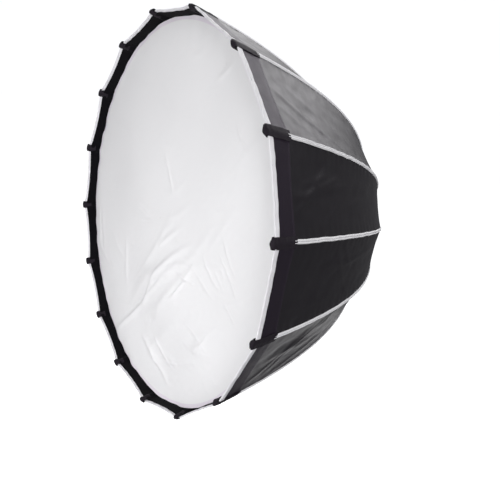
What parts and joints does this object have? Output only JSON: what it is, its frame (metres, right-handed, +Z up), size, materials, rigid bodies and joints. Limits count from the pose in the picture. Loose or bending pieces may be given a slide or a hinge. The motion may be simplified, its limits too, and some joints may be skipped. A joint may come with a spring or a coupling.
{
  "type": "octabox",
  "caption": "Deep bowl-shaped folding softbox with a black skin, white seam binding, a recessed white diffuser and a bayonet hub.",
  "frame": {"origin": "centre of the bayonet insert's rear face, where the light's front bears on it", "axes": "+Y out of the box towards the light, along the optical axis; the diffuser faces -Y; +Z up"},
  "size_m": [1.1768, 0.8905, 1.1768],
  "materials": {
    "insert_steel": "brushed, plated",
    "hub_aluminium": "black anodised",
    "wire_steel": "drawn",
    "knob_plastic": "moulded, fine grain",
    "screw_steel": "black oxide",
    "rib_rod": "pultruded glass fibre, satin",
    "black_nylon": "plain-weave nylon with a slight sheen",
    "silver_lining": "silver-coated nylon",
    "white_binding": "folded grosgrain tape",
    "pocket_webbing": "dense woven webbing",
    "lip_loop": "brushed loop tape",
    "diffuser_cloth": "white ripstop, soft and creased"
  },
  "bodies": {
    "mount": {"bayonet_insert": "insert_steel"},
    "hub": {"hub_ring": "hub_aluminium", "front_cover": "hub_aluminium", "hinge_wire": "wire_steel", "cover_screw_01": "screw_steel", "cover_screw_02": "screw_steel", "cover_screw_03": "screw_steel", "cover_screw_04": "screw_steel"},
    "lock_knob": {"lock_knob": "knob_plastic"},
    "rib_01": {"rib_01": "rib_rod"},
    "rib_02": {"rib_02": "rib_rod"},
    "rib_03": {"rib_03": "rib_rod"},
    "rib_04": {"rib_04": "rib_rod"},
    "rib_05": {"rib_05": "rib_rod"},
    "rib_06": {"rib_06": "rib_rod"},
    "rib_07": {"rib_07": "rib_rod"},
    "rib_08": {"rib_08": "rib_rod"},
    "rib_09": {"rib_09": "rib_rod"},
    "rib_10": {"rib_10": "rib_rod"},
    "rib_11": {"rib_11": "rib_rod"},
    "rib_12": {"rib_12": "rib_rod"},
    "rib_13": {"rib_13": "rib_rod"},
    "rib_14": {"rib_14": "rib_rod"},
    "rib_15": {"rib_15": "rib_rod"},
    "rib_16": {"rib_16": "rib_rod"},
    "gore_01": {"skin_gore_01": "black_nylon"},
    "gore_02": {"skin_gore_02": "black_nylon"},
    "gore_03": {"skin_gore_03": "black_nylon"},
    "gore_04": {"skin_gore_04": "black_nylon"},
    "gore_05": {"skin_gore_05": "black_nylon"},
    "gore_06": {"skin_gore_06": "black_nylon"},
    "gore_07": {"skin_gore_07": "black_nylon"},
    "gore_08": {"skin_gore_08": "black_nylon"},
    "gore_09": {"skin_gore_09": "black_nylon"},
    "gore_10": {"skin_gore_10": "black_nylon"},
    "gore_11": {"skin_gore_11": "black_nylon"},
    "gore_12": {"skin_gore_12": "black_nylon"},
    "gore_13": {"skin_gore_13": "black_nylon"},
    "gore_14": {"skin_gore_14": "black_nylon"},
    "gore_15": {"skin_gore_15": "black_nylon"},
    "gore_16": {"skin_gore_16": "black_nylon"},
    "diffuser_01": {"diffuser_sector_01": "diffuser_cloth"},
    "diffuser_02": {"diffuser_sector_02": "diffuser_cloth"},
    "diffuser_03": {"diffuser_sector_03": "diffuser_cloth"},
    "diffuser_04": {"diffuser_sector_04": "diffuser_cloth"},
    "diffuser_05": {"diffuser_sector_05": "diffuser_cloth"},
    "diffuser_06": {"diffuser_sector_06": "diffuser_cloth"},
    "diffuser_07": {"diffuser_sector_07": "diffuser_cloth"},
    "diffuser_08": {"diffuser_sector_08": "diffuser_cloth"}
  },
  "joints": [
    {"name": "hub_turn", "type": "hinge", "parent": "mount", "child": "hub", "pos_m": [0, -0.018, 0], "axis": [0, 1, 0], "continuous": true},
    {"name": "lock_knob_turn", "type": "hinge", "parent": "hub", "child": "lock_knob", "pos_m": [0, -0.01, -0.116], "axis": [0, 0, -1], "continuous": true},
    {"name": "fold", "type": "hinge", "parent": "hub", "child": "rib_01", "pos_m": [0.01834, -0.026, 0.09219], "axis": [0.9808, 0, -0.1951], "range_deg": [0, 30]},
    {"name": "rib_02_fold", "type": "hinge", "parent": "hub", "child": "rib_02", "pos_m": [0.05222, -0.026, 0.07816], "axis": [0.8315, 0, -0.5556], "range_deg": [0, 30]},
    {"name": "rib_03_fold", "type": "hinge", "parent": "hub", "child": "rib_03", "pos_m": [0.07816, -0.026, 0.05222], "axis": [0.5556, 0, -0.8315], "range_deg": [0, 30]},
    {"name": "rib_04_fold", "type": "hinge", "parent": "hub", "child": "rib_04", "pos_m": [0.09219, -0.026, 0.01834], "axis": [0.1951, 0, -0.9808], "range_deg": [0, 30]},
    {"name": "rib_05_fold", "type": "hinge", "parent": "hub", "child": "rib_05", "pos_m": [0.09219, -0.026, -0.01834], "axis": [-0.1951, 0, -0.9808], "range_deg": [0, 30]},
    {"name": "rib_06_fold", "type": "hinge", "parent": "hub", "child": "rib_06", "pos_m": [0.07816, -0.026, -0.05222], "axis": [-0.5556, 0, -0.8315], "range_deg": [0, 30]},
    {"name": "rib_07_fold", "type": "hinge", "parent": "hub", "child": "rib_07", "pos_m": [0.05222, -0.026, -0.07816], "axis": [-0.8315, 0, -0.5556], "range_deg": [0, 30]},
    {"name": "rib_08_fold", "type": "hinge", "parent": "hub", "child": "rib_08", "pos_m": [0.01834, -0.026, -0.09219], "axis": [-0.9808, 0, -0.1951], "range_deg": [0, 30]},
    {"name": "rib_09_fold", "type": "hinge", "parent": "hub", "child": "rib_09", "pos_m": [-0.01834, -0.026, -0.09219], "axis": [-0.9808, 0, 0.1951], "range_deg": [0, 30]},
    {"name": "rib_10_fold", "type": "hinge", "parent": "hub", "child": "rib_10", "pos_m": [-0.05222, -0.026, -0.07816], "axis": [-0.8315, 0, 0.5556], "range_deg": [0, 30]},
    {"name": "rib_11_fold", "type": "hinge", "parent": "hub", "child": "rib_11", "pos_m": [-0.07816, -0.026, -0.05222], "axis": [-0.5556, 0, 0.8315], "range_deg": [0, 30]},
    {"name": "rib_12_fold", "type": "hinge", "parent": "hub", "child": "rib_12", "pos_m": [-0.09219, -0.026, -0.01834], "axis": [-0.1951, 0, 0.9808], "range_deg": [0, 30]},
    {"name": "rib_13_fold", "type": "hinge", "parent": "hub", "child": "rib_13", "pos_m": [-0.09219, -0.026, 0.01834], "axis": [0.1951, 0, 0.9808], "range_deg": [0, 30]},
    {"name": "rib_14_fold", "type": "hinge", "parent": "hub", "child": "rib_14", "pos_m": [-0.07816, -0.026, 0.05222], "axis": [0.5556, 0, 0.8315], "range_deg": [0, 30]},
    {"name": "rib_15_fold", "type": "hinge", "parent": "hub", "child": "rib_15", "pos_m": [-0.05222, -0.026, 0.07816], "axis": [0.8315, 0, 0.5556], "range_deg": [0, 30]},
    {"name": "rib_16_fold", "type": "hinge", "parent": "hub", "child": "rib_16", "pos_m": [-0.01834, -0.026, 0.09219], "axis": [0.9808, 0, 0.1951], "range_deg": [0, 30]},
    {"name": "gore_01_fold", "type": "hinge", "parent": "rib_01", "child": "gore_01", "pos_m": [0.03668, -0.026, 0.08855], "axis": [-0.3701, -0.2542, -0.8935], "range_deg": [0, 11.59], "deforming": ["skin_gore_01"]},
    {"name": "gore_02_fold", "type": "hinge", "parent": "rib_02", "child": "gore_02", "pos_m": [0.06777, -0.026, 0.06777], "axis": [-0.6839, -0.2542, -0.6839], "range_deg": [0, 11.59], "deforming": ["skin_gore_02"]},
    {"name": "gore_03_fold", "type": "hinge", "parent": "rib_03", "child": "gore_03", "pos_m": [0.08855, -0.026, 0.03668], "axis": [-0.8935, -0.2542, -0.3701], "range_deg": [0, 11.59], "deforming": ["skin_gore_03"]},
    {"name": "gore_04_fold", "type": "hinge", "parent": "rib_04", "child": "gore_04", "pos_m": [0.09584, -0.026, 0], "axis": [-0.9672, -0.2542, 0], "range_deg": [0, 11.59], "deforming": ["skin_gore_04"]},
    {"name": "gore_05_fold", "type": "hinge", "parent": "rib_05", "child": "gore_05", "pos_m": [0.08855, -0.026, -0.03668], "axis": [-0.8935, -0.2542, 0.3701], "range_deg": [0, 11.59], "deforming": ["skin_gore_05"]},
    {"name": "gore_06_fold", "type": "hinge", "parent": "rib_06", "child": "gore_06", "pos_m": [0.06777, -0.026, -0.06777], "axis": [-0.6839, -0.2542, 0.6839], "range_deg": [0, 11.59], "deforming": ["skin_gore_06"]},
    {"name": "gore_07_fold", "type": "hinge", "parent": "rib_07", "child": "gore_07", "pos_m": [0.03668, -0.026, -0.08855], "axis": [-0.3701, -0.2542, 0.8935], "range_deg": [0, 11.59], "deforming": ["skin_gore_07"]},
    {"name": "gore_08_fold", "type": "hinge", "parent": "rib_08", "child": "gore_08", "pos_m": [0, -0.026, -0.09584], "axis": [0, -0.2542, 0.9672], "range_deg": [0, 11.59], "deforming": ["skin_gore_08"]},
    {"name": "gore_09_fold", "type": "hinge", "parent": "rib_09", "child": "gore_09", "pos_m": [-0.03668, -0.026, -0.08855], "axis": [0.3701, -0.2542, 0.8935], "range_deg": [0, 11.59], "deforming": ["skin_gore_09"]},
    {"name": "gore_10_fold", "type": "hinge", "parent": "rib_10", "child": "gore_10", "pos_m": [-0.06777, -0.026, -0.06777], "axis": [0.6839, -0.2542, 0.6839], "range_deg": [0, 11.59], "deforming": ["skin_gore_10"]},
    {"name": "gore_11_fold", "type": "hinge", "parent": "rib_11", "child": "gore_11", "pos_m": [-0.08855, -0.026, -0.03668], "axis": [0.8935, -0.2542, 0.3701], "range_deg": [0, 11.59], "deforming": ["skin_gore_11"]},
    {"name": "gore_12_fold", "type": "hinge", "parent": "rib_12", "child": "gore_12", "pos_m": [-0.09584, -0.026, 0], "axis": [0.9672, -0.2542, 0], "range_deg": [0, 11.59], "deforming": ["skin_gore_12"]},
    {"name": "gore_13_fold", "type": "hinge", "parent": "rib_13", "child": "gore_13", "pos_m": [-0.08855, -0.026, 0.03668], "axis": [0.8935, -0.2542, -0.3701], "range_deg": [0, 11.59], "deforming": ["skin_gore_13"]},
    {"name": "gore_14_fold", "type": "hinge", "parent": "rib_14", "child": "gore_14", "pos_m": [-0.06777, -0.026, 0.06777], "axis": [0.6839, -0.2542, -0.6839], "range_deg": [0, 11.59], "deforming": ["skin_gore_14"]},
    {"name": "gore_15_fold", "type": "hinge", "parent": "rib_15", "child": "gore_15", "pos_m": [-0.03668, -0.026, 0.08855], "axis": [0.3701, -0.2542, -0.8935], "range_deg": [0, 11.59], "deforming": ["skin_gore_15"]},
    {"name": "gore_16_fold", "type": "hinge", "parent": "rib_16", "child": "gore_16", "pos_m": [0, -0.026, 0.09584], "axis": [0, -0.2542, -0.9672], "range_deg": [0, 11.59], "deforming": ["skin_gore_16"]},
    {"name": "diffuser_01_fold", "type": "hinge", "parent": "rib_01", "child": "diffuser_01", "pos_m": [0.11296, -0.83225, 0.56788], "axis": [0.9808, 0, -0.1951], "range_deg": [0, 49.5], "deforming": ["diffuser_sector_01"]},
    {"name": "diffuser_02_fold", "type": "hinge", "parent": "rib_03", "child": "diffuser_02", "pos_m": [0.48142, -0.83225, 0.32167], "axis": [0.5556, 0, -0.8315], "range_deg": [0, 49.5], "deforming": ["diffuser_sector_02"]},
    {"name": "diffuser_03_fold", "type": "hinge", "parent": "rib_05", "child": "diffuser_03", "pos_m": [0.56788, -0.83225, -0.11296], "axis": [-0.1951, 0, -0.9808], "range_deg": [0, 49.5], "deforming": ["diffuser_sector_03"]},
    {"name": "diffuser_04_fold", "type": "hinge", "parent": "rib_07", "child": "diffuser_04", "pos_m": [0.32167, -0.83225, -0.48142], "axis": [-0.8315, 0, -0.5556], "range_deg": [0, 49.5], "deforming": ["diffuser_sector_04"]},
    {"name": "diffuser_05_fold", "type": "hinge", "parent": "rib_09", "child": "diffuser_05", "pos_m": [-0.11296, -0.83225, -0.56788], "axis": [-0.9808, 0, 0.1951], "range_deg": [0, 49.5], "deforming": ["diffuser_sector_05"]},
    {"name": "diffuser_06_fold", "type": "hinge", "parent": "rib_11", "child": "diffuser_06", "pos_m": [-0.48142, -0.83225, -0.32167], "axis": [-0.5556, 0, 0.8315], "range_deg": [0, 49.5], "deforming": ["diffuser_sector_06"]},
    {"name": "diffuser_07_fold", "type": "hinge", "parent": "rib_13", "child": "diffuser_07", "pos_m": [-0.56788, -0.83225, 0.11296], "axis": [0.1951, 0, 0.9808], "range_deg": [0, 49.5], "deforming": ["diffuser_sector_07"]},
    {"name": "diffuser_08_fold", "type": "hinge", "parent": "rib_15", "child": "diffuser_08", "pos_m": [-0.32167, -0.83225, 0.48142], "axis": [0.8315, 0, 0.5556], "range_deg": [0, 49.5], "deforming": ["diffuser_sector_08"]}
  ],
  "couplings": [
    {"joint": "rib_02_fold", "follows": "fold", "ratio": 1},
    {"joint": "rib_03_fold", "follows": "fold", "ratio": 1},
    {"joint": "rib_04_fold", "follows": "fold", "ratio": 1},
    {"joint": "rib_05_fold", "follows": "fold", "ratio": 1},
    {"joint": "rib_06_fold", "follows": "fold", "ratio": 1},
    {"joint": "rib_07_fold", "follows": "fold", "ratio": 1},
    {"joint": "rib_08_fold", "follows": "fold", "ratio": 1},
    {"joint": "rib_09_fold", "follows": "fold", "ratio": 1},
    {"joint": "rib_10_fold", "follows": "fold", "ratio": 1},
    {"joint": "rib_11_fold", "follows": "fold", "ratio": 1},
    {"joint": "rib_12_fold", "follows": "fold", "ratio": 1},
    {"joint": "rib_13_fold", "follows": "fold", "ratio": 1},
    {"joint": "rib_14_fold", "follows": "fold", "ratio": 1},
    {"joint": "rib_15_fold", "follows": "fold", "ratio": 1},
    {"joint": "rib_16_fold", "follows": "fold", "ratio": 1},
    {"joint": "gore_01_fold", "follows": "fold", "ratio": 0.3859},
    {"joint": "gore_02_fold", "follows": "fold", "ratio": 0.3859},
    {"joint": "gore_03_fold", "follows": "fold", "ratio": 0.3859},
    {"joint": "gore_04_fold", "follows": "fold", "ratio": 0.3859},
    {"joint": "gore_05_fold", "follows": "fold", "ratio": 0.3859},
    {"joint": "gore_06_fold", "follows": "fold", "ratio": 0.3859},
    {"joint": "gore_07_fold", "follows": "fold", "ratio": 0.3859},
    {"joint": "gore_08_fold", "follows": "fold", "ratio": 0.3859},
    {"joint": "gore_09_fold", "follows": "fold", "ratio": 0.3859},
    {"joint": "gore_10_fold", "follows": "fold", "ratio": 0.3859},
    {"joint": "gore_11_fold", "follows": "fold", "ratio": 0.3859},
    {"joint": "gore_12_fold", "follows": "fold", "ratio": 0.3859},
    {"joint": "gore_13_fold", "follows": "fold", "ratio": 0.3859},
    {"joint": "gore_14_fold", "follows": "fold", "ratio": 0.3859},
    {"joint": "gore_15_fold", "follows": "fold", "ratio": 0.3859},
    {"joint": "gore_16_fold", "follows": "fold", "ratio": 0.3859},
    {"joint": "diffuser_01_fold", "follows": "fold", "ratio": 1.65},
    {"joint": "diffuser_02_fold", "follows": "fold", "ratio": 1.65},
    {"joint": "diffuser_03_fold", "follows": "fold", "ratio": 1.65},
    {"joint": "diffuser_04_fold", "follows": "fold", "ratio": 1.65},
    {"joint": "diffuser_05_fold", "follows": "fold", "ratio": 1.65},
    {"joint": "diffuser_06_fold", "follows": "fold", "ratio": 1.65},
    {"joint": "diffuser_07_fold", "follows": "fold", "ratio": 1.65},
    {"joint": "diffuser_08_fold", "follows": "fold", "ratio": 1.65}
  ]
}
